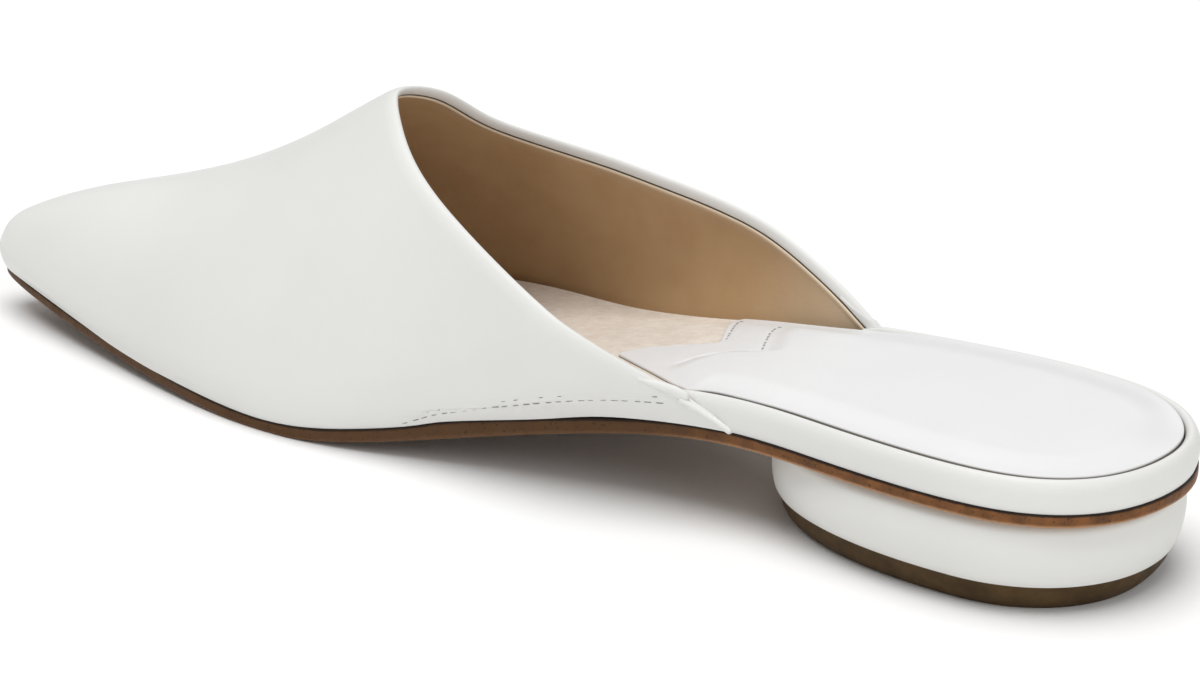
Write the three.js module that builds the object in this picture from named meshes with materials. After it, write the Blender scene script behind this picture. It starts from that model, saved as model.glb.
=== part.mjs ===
// Pointed-toe mule for the right foot, standing empty on its heel and forefoot.
// Millimetres. +X is the wearer's right, the outer side of this shoe, +Y points to the toe and +Z up.
// The drawing frame has x = 0 on the heel's axis, y = 0 at the back of the outsole, z = 0 the ground.
// The last lines shift the finished shoe so that its origin is the middle of its footprint.
import * as THREE from 'three';

// ---- Driving dimensions -------------------------------------------------------------------------
const SOLE_LENGTH = 266.6;
const UPPER_TIP = 268;             // the leather bulges this far forward, past the sole's tip
const FIT_GAP = 0.3;               // clearance between neighbouring pieces

const UPPER_WALL = 1.8;            // outer leather and lining together
const FLAT_FOOT_HEIGHT = 4;        // over this height the wall's offset turns from level to square

const SOLE_ARRIS = 0.6;            // rounded lower corner of the outsole's edge
const SOLE_TOP_BEVEL = 0.25;

const RIM_END_RISE = 1.65;         // the rim's front ends lean forward this much for each mm of height
const RIM_END_INNER = 81.2;        // y of the rim's end on the inner (-X) side, at its foot
const RIM_END_OUTER = 74.5;        // the same on the outer side

const INSOLE_FOOT_INSET = 2.95;    // from the outsole's outline to the insole's lower edge
const INSOLE_CROWN = 1.2;          // rounding along the insole's upper edge

const TOP_PIECE_HEIGHT = 5.6;
const HEEL_CENTRE_Y = 32.6;        // widest place of the heel
const HEEL_BACK = 28.9;            // from there to the back of the heel, at the top of the rubber
const HEEL_FRONT = 51.2;           // and to its front
const HEEL_HALF_WIDTH = 27.4;
const HEEL_SIDE_SHIFT = -0.7;      // the heel sits slightly to the inner side of the axis
const HEEL_SQUARENESS = 2.12;      // exponent of the superellipse, 2 is an ellipse

// ---- Tables: one row for each station, y measured forward from the back of the outsole ----------
// Half widths are measured from the axis line, whose x is in the column axis.
const SOLE_PLAN = [
  { y: 0, axis: 0, inner: 0, outer: 0 },
  { y: 3, axis: 0, inner: 14.6, outer: 13.0 },
  { y: 10, axis: 0, inner: 23.9, outer: 21.7 },
  { y: 20, axis: 0, inner: 29.3, outer: 26.8 },
  { y: 30, axis: 0, inner: 30.9, outer: 28.6 },
  { y: 60, axis: 0, inner: 27.8, outer: 29.0 },
  { y: 90, axis: 0, inner: 23.5, outer: 27.4 },
  { y: 120, axis: 0, inner: 26.0, outer: 29.2 },
  { y: 150, axis: 0, inner: 31.1, outer: 35.0 },
  { y: 175, axis: 0, inner: 35.9, outer: 39.3 },
  { y: 196, axis: -0.8, inner: 34.0, outer: 37.0 },
  { y: 221, axis: -3, inner: 25.5, outer: 29.3 },
  { y: 246, axis: -7, inner: 13.7, outer: 16.8 },
  { y: 259.6, axis: -9.6, inner: 6.1, outer: 8.2 },
  { y: SOLE_LENGTH, axis: -10.7, inner: 0, outer: 0 },
];

// Heights of the outsole's two faces, with heel pitch, arch and toe spring. insole is the insole's height
// above the outsole, and inset how far its upper edge lies inside the outsole's outline.
const SOLE_SIDE = [
  { y: 0, top: 21.4, under: 18.7, insole: 5.9, inset: 2.95 },
  { y: 30, top: 21.9, under: 19.2, insole: 6.1, inset: 2.95 },
  { y: 60, top: 21.2, under: 18.5, insole: 6.1, inset: 2.95 },
  { y: 90, top: 19.6, under: 16.7, insole: 5.7, inset: 2.95 },
  { y: 120, top: 14.9, under: 11.6, insole: 4.9, inset: 1.85 },
  { y: 150, top: 7.7, under: 4.6, insole: 5.8, inset: 1.35 },
  { y: 180, top: 2.6, under: -0.12, insole: 6.8, inset: 1.55 },
  { y: 200, top: 2.9, under: 0.3, insole: 6.2, inset: 1.75 },
  { y: 225, top: 4.5, under: 2.2, insole: 5.2, inset: 1.9 },
  { y: SOLE_LENGTH, top: 9.5, under: 7.3, insole: 3.6, inset: 2.3 },
];

// Sections of the last that the upper is pulled over. crest is the height of the section above its foot,
// and pinch draws its flanks in from an ellipse. The leather is tucked in at the foot, fading out over
// tuckHeight.
const LAST_SECTIONS = [
  {
    y: 65, axis: 0, inner: 26.6, outer: 30.4, crest: 68, pinch: 0.12,
    innerTuck: 1.6, outerTuck: 1.8, tuckHeight: 16,
  },
  {
    y: 90, axis: 0, inner: 28.0, outer: 31.0, crest: 74, pinch: 0.15,
    innerTuck: 4.3, outerTuck: 3.8, tuckHeight: 20,
  },
  {
    y: 110, axis: 0, inner: 34.7, outer: 36.2, crest: 76, pinch: 0.2,
    innerTuck: 9.8, outerTuck: 7.9, tuckHeight: 24,
  },
  {
    y: 130, axis: 0, inner: 36.4, outer: 38.0, crest: 75, pinch: 0.28,
    innerTuck: 8.7, outerTuck: 7.2, tuckHeight: 20,
  },
  {
    y: 150, axis: 0, inner: 35.6, outer: 38.7, crest: 69.5, pinch: 0.34,
    innerTuck: 4.7, outerTuck: 3.9, tuckHeight: 14,
  },
  {
    y: 175, axis: 0, inner: 37.6, outer: 41.2, crest: 61, pinch: 0.34,
    innerTuck: 2.1, outerTuck: 2.2, tuckHeight: 9,
  },
  {
    y: 196, axis: -0.8, inner: 35.3, outer: 38.5, crest: 47, pinch: 0.24,
    innerTuck: 1.7, outerTuck: 1.8, tuckHeight: 7,
  },
  {
    y: 221, axis: -3, inner: 26.8, outer: 30.6, crest: 32.4, pinch: 0.1,
    innerTuck: 1.7, outerTuck: 1.7, tuckHeight: 6,
  },
  {
    y: 246, axis: -7, inner: 15.0, outer: 18.2, crest: 21.6, pinch: 0.02,
    innerTuck: 1.7, outerTuck: 1.7, tuckHeight: 5,
  },
  {
    y: 260, axis: -9.6, inner: 7.9, outer: 9.9, crest: 13.8, pinch: 0,
    innerTuck: 1.7, outerTuck: 1.7, tuckHeight: 5,
  },
  {
    y: 266.5, axis: -10.6, inner: 3.9, outer: 4.7, crest: 7.4, pinch: 0,
    innerTuck: 1.7, outerTuck: 1.7, tuckHeight: 5,
  },
  {
    y: UPPER_TIP, axis: -10.7, inner: 0, outer: 0, crest: 0, pinch: 0,
    innerTuck: 1.7, outerTuck: 1.7, tuckHeight: 5,
  },
];

// The open edge of the upper. around is the angle about the section: -90 at the inner foot, 0 at the
// crest, 90 at the outer foot. y is how far forward the leather starts there.
const TOPLINE = [
  { around: -90, y: 82.2 },
  { around: -88, y: 86.6 },
  { around: -86, y: 91.2 },
  { around: -82, y: 99.9 },
  { around: -76, y: 111.2 },
  { around: -66, y: 129.4 },
  { around: -54, y: 147 },
  { around: -40, y: 161 },
  { around: -26, y: 169.3 },
  { around: -13, y: 174.2 },
  { around: 0, y: 176.8 },
  { around: 13, y: 176.6 },
  { around: 25, y: 174.1 },
  { around: 34, y: 171.9 },
  { around: 42, y: 168 },
  { around: 50, y: 158.8 },
  { around: 58, y: 146.1 },
  { around: 66, y: 131.6 },
  { around: 72, y: 116.5 },
  { around: 77, y: 102.8 },
  { around: 82, y: 91.6 },
  { around: 86, y: 83.9 },
  { around: 88, y: 79.6 },
  { around: 90, y: 75.5 },
];

// Section of the covered rim round the heel: inset from the outsole's outline, and height up from its foot.
const RIM_SECTION = [
  { inset: 0.7, up: 0 },
  { inset: 0.2, up: 1.2 },
  { inset: 0, up: 3 },
  { inset: 0.2, up: 4.6 },
  { inset: 0.8, up: 5.8 },
  { inset: 1.6, up: 6.35 },
  { inset: 2.3, up: 6.2 },
  { inset: 2.6, up: 5.6 },
  { inset: 2.6, up: 0 },
];

// Pillow shape of the heel block, from its foot up: how far it stands out at the sides, back and front.
const HEEL_SWELL = [
  { share: 0, side: 0, back: 0, front: 0 },
  { share: 0.08, side: 0.9, back: 0.5, front: 0.3 },
  { share: 0.2, side: 1.7, back: 1.0, front: 0.5 },
  { share: 0.4, side: 2.4, back: 1.4, front: 0.7 },
  { share: 0.6, side: 2.5, back: 1.5, front: 0.7 },
  { share: 0.8, side: 2.1, back: 1.3, front: 0.5 },
  { share: 0.92, side: 1.3, back: 0.7, front: 0 },
  { share: 1, side: -0.4, back: -0.8, front: -1.4 },
];

// Side of the rubber top piece, which tapers to the ground.
const TOP_PIECE_SWELL = [
  { share: 0, side: -3.3, back: -3.8, front: -3.1 },
  { share: 0.1, side: -2.7, back: -3.2, front: -2.5 },
  { share: 0.9, side: -0.4, back: -0.4, front: -0.4 },
  { share: 1, side: -0.2, back: -0.2, front: -0.2 },
];

// ---- Mesh fineness ------------------------------------------------------------------------------
const PLAN_STEPS = 44;             // stations along each side of the sole
const HEEL_STEPS = 26;             // stations along each side of the heel
const RIM_STEPS = 52;              // sections along the rim
const UPPER_STEPS = 22;            // rows from the open edge to the toe
const UPPER_STEPS_AROUND = 40;     // columns from the inner foot over the crest to the outer foot

// ---- Smooth curves through tables ---------------------------------------------------------------
// Natural cubic spline through the points (xs[i], ys[i]), xs rising.
function curveThrough(xs, ys) {
  const last = xs.length - 1;
  const bend = new Array(last + 1).fill(0);
  const sweep = new Array(last + 1).fill(0);
  for (let i = 1; i < last; i++) {
    const before = xs[i] - xs[i - 1];
    const after = xs[i + 1] - xs[i];
    const turn = (ys[i + 1] - ys[i]) / after - (ys[i] - ys[i - 1]) / before;
    const pivot = 2 * (before + after) - before * sweep[i - 1];
    sweep[i] = after / pivot;
    bend[i] = (6 * turn - before * bend[i - 1]) / pivot;
  }
  for (let i = last - 1; i > 0; i--) {
    bend[i] -= sweep[i] * bend[i + 1];
  }
  return (x) => {
    let i = 0;
    while (i < last - 1 && x > xs[i + 1]) {
      i++;
    }
    const step = xs[i + 1] - xs[i];
    const right = (x - xs[i]) / step;
    const left = 1 - right;
    const curve = (left ** 3 - left) * bend[i] + (right ** 3 - right) * bend[i + 1];
    return left * ys[i] + right * ys[i + 1] + curve * step * step / 6;
  };
}

// One curve for each named column of a table, over the values that position gives for its rows.
function columnCurves(rows, names, position) {
  const sorted = [...rows].sort((a, b) => position(a) - position(b));
  const places = sorted.map(position);
  const curves = {};
  for (const name of names) {
    curves[name] = curveThrough(places, sorted.map((row) => row[name]));
  }
  return curves;
}

// ---- Outlines and heights -----------------------------------------------------------------------
// The sole's stations are angles: 0 at the back, pi at the tip. Both ends come out round.
const soleAngle = (y) => Math.acos(1 - 2 * y / SOLE_LENGTH);
const soleStation = (angle) => SOLE_LENGTH * (1 - Math.cos(angle)) / 2;
const solePlan = columnCurves(SOLE_PLAN, ['axis', 'inner', 'outer'], (row) => soleAngle(row.y));
const soleSide = columnCurves(SOLE_SIDE, ['top', 'under', 'insole', 'inset'], (row) => row.y);
const soleTop = (y) => soleSide.top(y);
const soleUnder = (y) => Math.max(0, soleSide.under(y));   // pressed flat where it meets the ground

// Point of the sole's outline, from -pi (tip) over 0 (back) to pi (tip): the inner side is negative.
function soleOutline(angle) {
  const along = Math.abs(angle);
  const width = angle < 0 ? -solePlan.inner(along) : solePlan.outer(along);
  return new THREE.Vector2(solePlan.axis(along) + width, soleStation(along));
}

// The same outline moved inwards, square to itself.
function soleInset(angle, inset) {
  const nudge = 1e-4;
  const here = soleOutline(angle);
  const ahead = soleOutline(angle + nudge);
  const behind = soleOutline(angle - nudge);
  const along = ahead.sub(behind).normalize();
  return new THREE.Vector2(here.x - along.y * inset, here.y + along.x * inset);
}

// Ring round the whole sole: back, outer side, tip, inner side. inset and height are functions of y.
function soleRing(inset, height) {
  const ring = [];
  for (let i = 0; i < 2 * PLAN_STEPS; i++) {
    const isEnd = i % PLAN_STEPS === 0;
    const angle = Math.PI * (i > PLAN_STEPS ? i / PLAN_STEPS - 2 : i / PLAN_STEPS);
    const inwards = inset(soleStation(Math.abs(angle)));
    const place = isEnd ? soleEnd(angle, inwards) : soleInset(angle, inwards);
    ring.push(new THREE.Vector3(place.x, place.y, height(place.y)));
  }
  return ring;
}

// The back (angle 0) or the tip (angle pi) of the outline, moved inwards along the shoe.
function soleEnd(angle, inset) {
  const inwards = angle > 0 ? -inset : inset;
  return new THREE.Vector2(solePlan.axis(angle), soleStation(angle) + inwards);
}

// Egg-shaped plan of the heel, in the same order as soleRing, with a row of one of the swell tables.
function heelRing(swell, height) {
  const ring = [];
  for (let i = 0; i < 2 * HEEL_STEPS; i++) {
    const angle = Math.PI * i / HEEL_STEPS;
    const across = Math.abs(Math.sin(angle)) ** (2 / HEEL_SQUARENESS) * Math.sign(Math.sin(angle));
    const along = Math.abs(Math.cos(angle)) ** (2 / HEEL_SQUARENESS) * Math.sign(Math.cos(angle));
    const reach = along > 0 ? HEEL_BACK + swell.back : HEEL_FRONT + swell.front;
    const x = HEEL_SIDE_SHIFT + across * (HEEL_HALF_WIDTH + swell.side);
    const y = HEEL_CENTRE_Y - along * reach;
    ring.push(new THREE.Vector3(x, y, height(y)));
  }
  return ring;
}

// ---- Solids -------------------------------------------------------------------------------------
class MeshBuilder {
  constructor() {
    this.positions = [];
    this.triangles = [];
  }

  point(place) {
    this.positions.push(place.x, place.y, place.z);
    return this.positions.length / 3 - 1;
  }

  triangle(a, b, c) {
    if (a !== b && b !== c && c !== a) {
      this.triangles.push(a, b, c);
    }
  }

  quad(a, b, c, d) {
    this.triangle(a, b, c);
    this.triangle(a, c, d);
  }

  geometry() {
    const geometry = new THREE.BufferGeometry();
    geometry.setAttribute('position', new THREE.Float32BufferAttribute(this.positions, 3));
    geometry.setIndex(this.triangles);
    geometry.computeVertexNormals();
    return geometry;
  }
}

// Rings stacked from the bottom up, closed below and above by strips that run across the shoe.
function stackedSolid(rings) {
  const mesh = new MeshBuilder();
  const levels = rings.map((ring) => ring.map((place) => mesh.point(place)));
  const count = rings[0].length;
  const half = count / 2;
  for (let level = 0; level + 1 < levels.length; level++) {
    const lower = levels[level];
    const upper = levels[level + 1];
    for (let i = 0; i < count; i++) {
      const next = (i + 1) % count;
      mesh.quad(lower[i], lower[next], upper[next], upper[i]);
    }
  }
  const bottom = levels[0];
  const top = levels[levels.length - 1];
  for (let i = 0; i < half; i++) {
    const opposite = (count - i) % count;
    mesh.quad(bottom[i], bottom[opposite], bottom[count - i - 1], bottom[i + 1]);
    mesh.quad(top[i], top[i + 1], top[count - i - 1], top[opposite]);
  }
  return mesh.geometry();
}

// Closed sections strung along a path, with a flat fan over each end.
function strungSolid(sections) {
  const mesh = new MeshBuilder();
  const loops = sections.map((section) => section.map((place) => mesh.point(place)));
  const count = sections[0].length;
  for (let i = 0; i + 1 < loops.length; i++) {
    for (let k = 0; k < count; k++) {
      const next = (k + 1) % count;
      mesh.quad(loops[i][k], loops[i][next], loops[i + 1][next], loops[i + 1][k]);
    }
  }
  const first = loops[0];
  const last = loops[loops.length - 1];
  const pivot = count - 1;
  for (let k = 0; k + 2 < count; k++) {
    mesh.triangle(first[pivot], first[k + 1], first[k]);
    mesh.triangle(last[pivot], last[k], last[k + 1]);
  }
  return mesh.geometry();
}

// ---- Sole, heel, rim and insole -----------------------------------------------------------------
function makeOutsole() {
  return stackedSolid([
    soleRing(() => SOLE_ARRIS, soleUnder),
    soleRing(() => SOLE_ARRIS * 0.3, (y) => soleUnder(y) + SOLE_ARRIS * 0.3),
    soleRing(() => 0, (y) => soleUnder(y) + SOLE_ARRIS),
    soleRing(() => 0, (y) => soleTop(y) - SOLE_TOP_BEVEL),
    soleRing(() => SOLE_TOP_BEVEL, soleTop),
  ]);
}

function makeHeelBlock() {
  const foot = TOP_PIECE_HEIGHT + FIT_GAP;
  return stackedSolid(HEEL_SWELL.map((swell) => heelRing(swell, (y) => {
    const rise = soleUnder(y) - FIT_GAP - foot;
    return foot + rise * swell.share;
  })));
}

function makeTopPiece() {
  return stackedSolid(TOP_PIECE_SWELL.map((swell) => {
    const height = TOP_PIECE_HEIGHT * swell.share;
    return heelRing(swell, () => height);
  }));
}

function makeInsole() {
  const top = (y) => soleTop(y) + soleSide.insole(y);
  return stackedSolid([
    soleRing(() => INSOLE_FOOT_INSET, (y) => soleTop(y) + FIT_GAP),
    soleRing(soleSide.inset, (y) => top(y) - INSOLE_CROWN),
    soleRing((y) => soleSide.inset(y) + INSOLE_CROWN * 0.4, (y) => top(y) - INSOLE_CROWN * 0.35),
    soleRing((y) => soleSide.inset(y) + INSOLE_CROWN * 1.4, top),
  ]);
}

// The rim runs from the outer side of the waist round the back of the heel to the inner side.
function makeFootbedRim() {
  const sections = [];
  for (let i = 0; i <= RIM_STEPS; i++) {
    const share = i / RIM_STEPS;
    sections.push(RIM_SECTION.map(({ inset, up }) => {
      const innerEnd = -soleAngle(RIM_END_INNER + up * RIM_END_RISE);
      const outerEnd = soleAngle(RIM_END_OUTER + up * RIM_END_RISE);
      const angle = outerEnd + (innerEnd - outerEnd) * share;
      const place = soleInset(angle, inset);
      return new THREE.Vector3(place.x, place.y, soleTop(place.y) + FIT_GAP + up);
    }));
  }
  return strungSolid(sections);
}

// ---- Upper --------------------------------------------------------------------------------------
// Stations of the last are shares: 0 at the tip, growing backwards as a square root, so that the nose
// comes out round.
const lastShare = (y) => Math.sqrt(1 - y / UPPER_TIP);
const lastColumns = ['axis', 'inner', 'outer', 'crest', 'pinch', 'innerTuck', 'outerTuck', 'tuckHeight'];
const last = columnCurves(LAST_SECTIONS, lastColumns, (row) => lastShare(row.y));
const topline = columnCurves(TOPLINE, ['y'], (row) => row.around);

// Outward direction of the last's plan at a share, side -1 inner or 1 outer.
function lastOutward(share, side) {
  const nudge = 1e-3;
  const width = side < 0 ? last.inner : last.outer;
  const x = (at) => last.axis(at) + side * width(at);
  const from = Math.max(share - nudge, 0);
  const to = share + nudge;
  const across = (x(to) - x(from)) / (to - from);
  const along = -2 * UPPER_TIP * share;
  const length = Math.hypot(across, along);
  return new THREE.Vector2(side * Math.abs(along) / length, side * across / length);
}

// Point of the leather's outer face: share along the last, around from -90 degrees to 90.
function upperPoint(share, around) {
  const side = around < 0 ? -1 : 1;
  const y = UPPER_TIP * (1 - share * share);
  const angle = THREE.MathUtils.degToRad(90 - Math.abs(around));
  const rise = Math.sin(angle);
  const spread = Math.cos(angle) * (1 - last.pinch(share) * rise * rise);
  const up = last.crest(share) * rise;
  const halfWidth = side < 0 ? last.inner(share) : last.outer(share);
  const tuck = side < 0 ? last.innerTuck(share) : last.outerTuck(share);
  const pull = tuck * Math.max(0, 1 - up / last.tuckHeight(share)) ** 2;
  const outward = lastOutward(share, side);
  return new THREE.Vector3(
    last.axis(share) + side * halfWidth * spread - outward.x * pull,
    y - outward.y * pull,
    soleTop(Math.min(y, SOLE_LENGTH)) + FIT_GAP + up,
  );
}

// The lining's point behind the same place, one wall thickness inwards. At the foot the offset is level.
function liningPoint(share, around) {
  const nudge = 0.004;
  const here = upperPoint(share, around);
  const steepShare = Math.max(share, 2 * nudge);
  const steepAround = THREE.MathUtils.clamp(around, -89, 89);
  const ahead = upperPoint(steepShare - nudge, steepAround);
  const along = ahead.sub(upperPoint(steepShare + nudge, steepAround));
  const beyond = upperPoint(steepShare, steepAround + 1);
  const across = beyond.sub(upperPoint(steepShare, steepAround - 1));
  const outward = across.cross(along).normalize();
  const foot = soleTop(Math.min(here.y, SOLE_LENGTH)) + FIT_GAP;
  outward.z *= THREE.MathUtils.clamp((here.z - foot) / FLAT_FOOT_HEIGHT, 0, 1);
  return here.addScaledVector(outward.normalize(), -UPPER_WALL);
}

// Columns are closer together near the feet, where the open edge runs far back.
function aroundAt(column) {
  const across = 2 * column / UPPER_STEPS_AROUND - 1;
  return 90 * Math.sin(across * Math.PI / 2) * 0.35 + 90 * across * 0.65;
}

// One face of the wall as rows of vertex numbers, from the open edge to the tip.
function upperFace(mesh, pointOn) {
  const rows = [];
  for (let row = 0; row < UPPER_STEPS; row++) {
    const cells = [];
    for (let column = 0; column <= UPPER_STEPS_AROUND; column++) {
      const around = aroundAt(column);
      const edge = lastShare(topline.y(around));
      cells.push(mesh.point(pointOn(edge * (1 - row / UPPER_STEPS), around)));
    }
    rows.push(cells);
  }
  const tip = mesh.point(pointOn(0, 0));
  rows.push(new Array(UPPER_STEPS_AROUND + 1).fill(tip));
  return rows;
}

function makeUpper() {
  const mesh = new MeshBuilder();
  const outer = upperFace(mesh, upperPoint);
  const lining = upperFace(mesh, liningPoint);
  const end = UPPER_STEPS_AROUND;
  for (let row = 0; row < UPPER_STEPS; row++) {
    const next = row + 1;
    for (let column = 0; column < end; column++) {
      const beside = column + 1;
      mesh.quad(outer[row][column], outer[row][beside], outer[next][beside], outer[next][column]);
      mesh.quad(lining[row][column], lining[next][column], lining[next][beside], lining[row][beside]);
    }
    mesh.quad(outer[row][0], outer[next][0], lining[next][0], lining[row][0]);
    mesh.quad(outer[row][end], lining[row][end], lining[next][end], outer[next][end]);
  }
  for (let column = 0; column < end; column++) {
    mesh.quad(outer[0][column], lining[0][column], lining[0][column + 1], outer[0][column + 1]);
  }
  return mesh.geometry();
}

// ---- Materials and assembly ---------------------------------------------------------------------
const whiteLeather = new THREE.MeshStandardMaterial({ color: 0xe9e8e4, roughness: 0.5 });
const paddedWhiteLeather = new THREE.MeshStandardMaterial({ color: 0xefeeec, roughness: 0.45 });
const tanSole = new THREE.MeshStandardMaterial({ color: 0x7d5a42, roughness: 0.6 });
const darkRubber = new THREE.MeshStandardMaterial({ color: 0x4b3f33, roughness: 0.7 });

function piece(name, geometry, material) {
  const mesh = new THREE.Mesh(geometry, material);
  mesh.name = name;
  return mesh;
}

const shoe = new THREE.Group();
shoe.add(
  piece('outsole', makeOutsole(), tanSole),
  piece('heel_block', makeHeelBlock(), whiteLeather),
  piece('top_piece', makeTopPiece(), darkRubber),
  piece('footbed_rim', makeFootbedRim(), whiteLeather),
  piece('insole', makeInsole(), paddedWhiteLeather),
  piece('upper', makeUpper(), whiteLeather),
);

// The origin goes to the middle of the shoe's box, on the ground.
const box = new THREE.Box3().setFromObject(shoe);
const middle = box.getCenter(new THREE.Vector3());
shoe.position.set(-middle.x, -middle.y, 0);

export default shoe;
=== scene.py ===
# Looks of the pointed-toe mule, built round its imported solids. Blender works in metres. The shapes here are
# drawn in millimetres, in the construction's own drawing frame: x = 0 the heel's axis, y = 0 the back of the
# outsole, z = 0 the ground, -X the inner side of this right shoe. to_frame moves them into the row frame.
import math
import bmesh
import bpy
import numpy as np
from mathutils import Matrix, Vector
from mathutils.geometry import delaunay_2d_cdt


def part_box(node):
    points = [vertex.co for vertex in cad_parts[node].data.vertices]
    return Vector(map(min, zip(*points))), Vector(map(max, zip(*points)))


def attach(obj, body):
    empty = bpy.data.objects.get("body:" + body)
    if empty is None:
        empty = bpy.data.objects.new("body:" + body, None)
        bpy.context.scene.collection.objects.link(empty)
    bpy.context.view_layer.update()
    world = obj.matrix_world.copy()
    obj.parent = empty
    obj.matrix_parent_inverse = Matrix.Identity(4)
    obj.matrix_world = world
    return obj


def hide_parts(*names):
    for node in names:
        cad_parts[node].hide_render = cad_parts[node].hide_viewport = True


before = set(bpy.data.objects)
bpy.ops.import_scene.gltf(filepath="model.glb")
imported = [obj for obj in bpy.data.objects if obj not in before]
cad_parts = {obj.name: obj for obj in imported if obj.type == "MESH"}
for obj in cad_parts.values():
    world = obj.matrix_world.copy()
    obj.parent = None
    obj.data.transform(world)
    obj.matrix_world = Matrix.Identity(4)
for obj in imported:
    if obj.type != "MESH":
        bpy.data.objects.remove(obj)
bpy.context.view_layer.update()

MM = 0.001

# ---- Sizes shared with the solids ----------------------------------------------------
SOLE_LENGTH = 266.6
UPPER_TIP = 268.0
FIT_GAP = 0.3
UPPER_WALL = 1.8
FLAT_FOOT_HEIGHT = 4.0
RIM_END_RISE = 1.65
RIM_END_INNER = 81.2
RIM_END_OUTER = 74.5
TOP_PIECE_HEIGHT = 5.6
HEEL_CENTRE_Y = 32.6
HEEL_BACK = 28.9
HEEL_FRONT = 51.2
HEEL_HALF_WIDTH = 27.4
HEEL_SIDE_SHIFT = -0.7
HEEL_SQUARENESS = 2.12


def table(names, *rows):
    """Columns of a small table by name."""
    return {name: np.array([row[i] for row in rows], float) for i, name in enumerate(names.split())}


SOLE_PLAN = table(
    "y axis inner outer",
    (0, 0, 0, 0),
    (3, 0, 14.6, 13.0),
    (10, 0, 23.9, 21.7),
    (20, 0, 29.3, 26.8),
    (30, 0, 30.9, 28.6),
    (60, 0, 27.8, 29.0),
    (90, 0, 23.5, 27.4),
    (120, 0, 26.0, 29.2),
    (150, 0, 31.1, 35.0),
    (175, 0, 35.9, 39.3),
    (196, -0.8, 34.0, 37.0),
    (221, -3, 25.5, 29.3),
    (246, -7, 13.7, 16.8),
    (259.6, -9.6, 6.1, 8.2),
    (SOLE_LENGTH, -10.7, 0, 0),
)
SOLE_SIDE = table(
    "y top under insole inset",
    (0, 21.4, 18.7, 5.9, 2.95),
    (30, 21.9, 19.2, 6.1, 2.95),
    (60, 21.2, 18.5, 6.1, 2.95),
    (90, 19.6, 16.7, 5.7, 2.95),
    (120, 14.9, 11.6, 4.9, 1.85),
    (150, 7.7, 4.6, 5.8, 1.35),
    (180, 2.6, -0.12, 6.8, 1.55),
    (200, 2.9, 0.3, 6.2, 1.75),
    (225, 4.5, 2.2, 5.2, 1.9),
    (SOLE_LENGTH, 9.5, 7.3, 3.6, 2.3),
)
LAST_SECTIONS = table(
    "y axis inner outer crest pinch inner_tuck outer_tuck tuck_height",
    (65, 0, 26.6, 30.4, 68, 0.12, 1.6, 1.8, 16),
    (90, 0, 28.0, 31.0, 74, 0.15, 4.3, 3.8, 20),
    (110, 0, 34.7, 36.2, 76, 0.2, 9.8, 7.9, 24),
    (130, 0, 36.4, 38.0, 75, 0.28, 8.7, 7.2, 20),
    (150, 0, 35.6, 38.7, 69.5, 0.34, 4.7, 3.9, 14),
    (175, 0, 37.6, 41.2, 61, 0.34, 2.1, 2.2, 9),
    (196, -0.8, 35.3, 38.5, 47, 0.24, 1.7, 1.8, 7),
    (221, -3, 26.8, 30.6, 32.4, 0.1, 1.7, 1.7, 6),
    (246, -7, 15.0, 18.2, 21.6, 0.02, 1.7, 1.7, 5),
    (260, -9.6, 7.9, 9.9, 13.8, 0, 1.7, 1.7, 5),
    (266.5, -10.6, 3.9, 4.7, 7.4, 0, 1.7, 1.7, 5),
    (UPPER_TIP, -10.7, 0, 0, 0, 0, 1.7, 1.7, 5),
)
HEEL_SWELL = table(
    "share side back front",
    (0, 0, 0, 0),
    (0.08, 0.9, 0.5, 0.3),
    (0.2, 1.7, 1.0, 0.5),
    (0.4, 2.4, 1.4, 0.7),
    (0.6, 2.5, 1.5, 0.7),
    (0.8, 2.1, 1.3, 0.5),
    (0.92, 1.3, 0.7, 0.0),
    (1, -0.4, -0.8, -1.4),
)
TOP_PIECE_SWELL = table(
    "share side back front",
    (0, -3.3, -3.8, -3.1),
    (0.1, -2.7, -3.2, -2.5),
    (0.9, -0.4, -0.4, -0.4),
    (1, -0.2, -0.2, -0.2),
)

# ---- Sizes of what is drawn over the solids ------------------------------------------
# The open edge follows the solid's, and lies up to 1.5 mm further back at the outer tail.
TOPLINE = table(
    "around y",
    (-90, 82.2), (-88, 86.6), (-86, 91.2), (-82, 99.9), (-76, 111.2), (-66, 129.4), (-54, 147), (-40, 161),
    (-26, 169.3), (-13, 174.2), (0, 176.8), (13, 176.6), (25, 174.1), (34, 171.9), (42, 168), (50, 158.8),
    (58, 146.1), (66, 131.6), (72, 116.5), (77, 102.5), (82, 90.1), (86, 82.7), (88, 79.0), (90, 75.5),
)
# The rim's section, from its foot outside over the top: a little rounder than the solid's.
RIM_SECTION = table(
    "inset up",
    (0.35, 0), (0.05, 0.9), (-0.1, 2.8), (0, 4.4), (0.55, 5.65), (1.35, 6.2), (2.15, 6.0), (2.78, 5.3),
)
ROLL_RADIUS = 0.9                # half the wall: the leather turns over the open edge
ROLL_LEAN = 0.46                 # how far the top of that roll leans over towards the inside or the outside
ROLL_REACH = 3.3                 # its outer quarter is drawn out along the leather
EDGE_PROUD = 0.45                # the turned edge stands out this far down the outer side
TURNED_BAND = 0.75               # white leather showing inside the open edge
SEAM_LIFT = 1.2                  # on the inner side the seam is this much nearer the edge
SEAM_GAP = 0.17                  # groove between that band and the lining, darkened by painted shade on the lining
LINING_BEAD = 0.34               # radius of the lining's rolled edge
LINING_LIT_START = 118.0        # behind here painted light makes the lining paler

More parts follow.
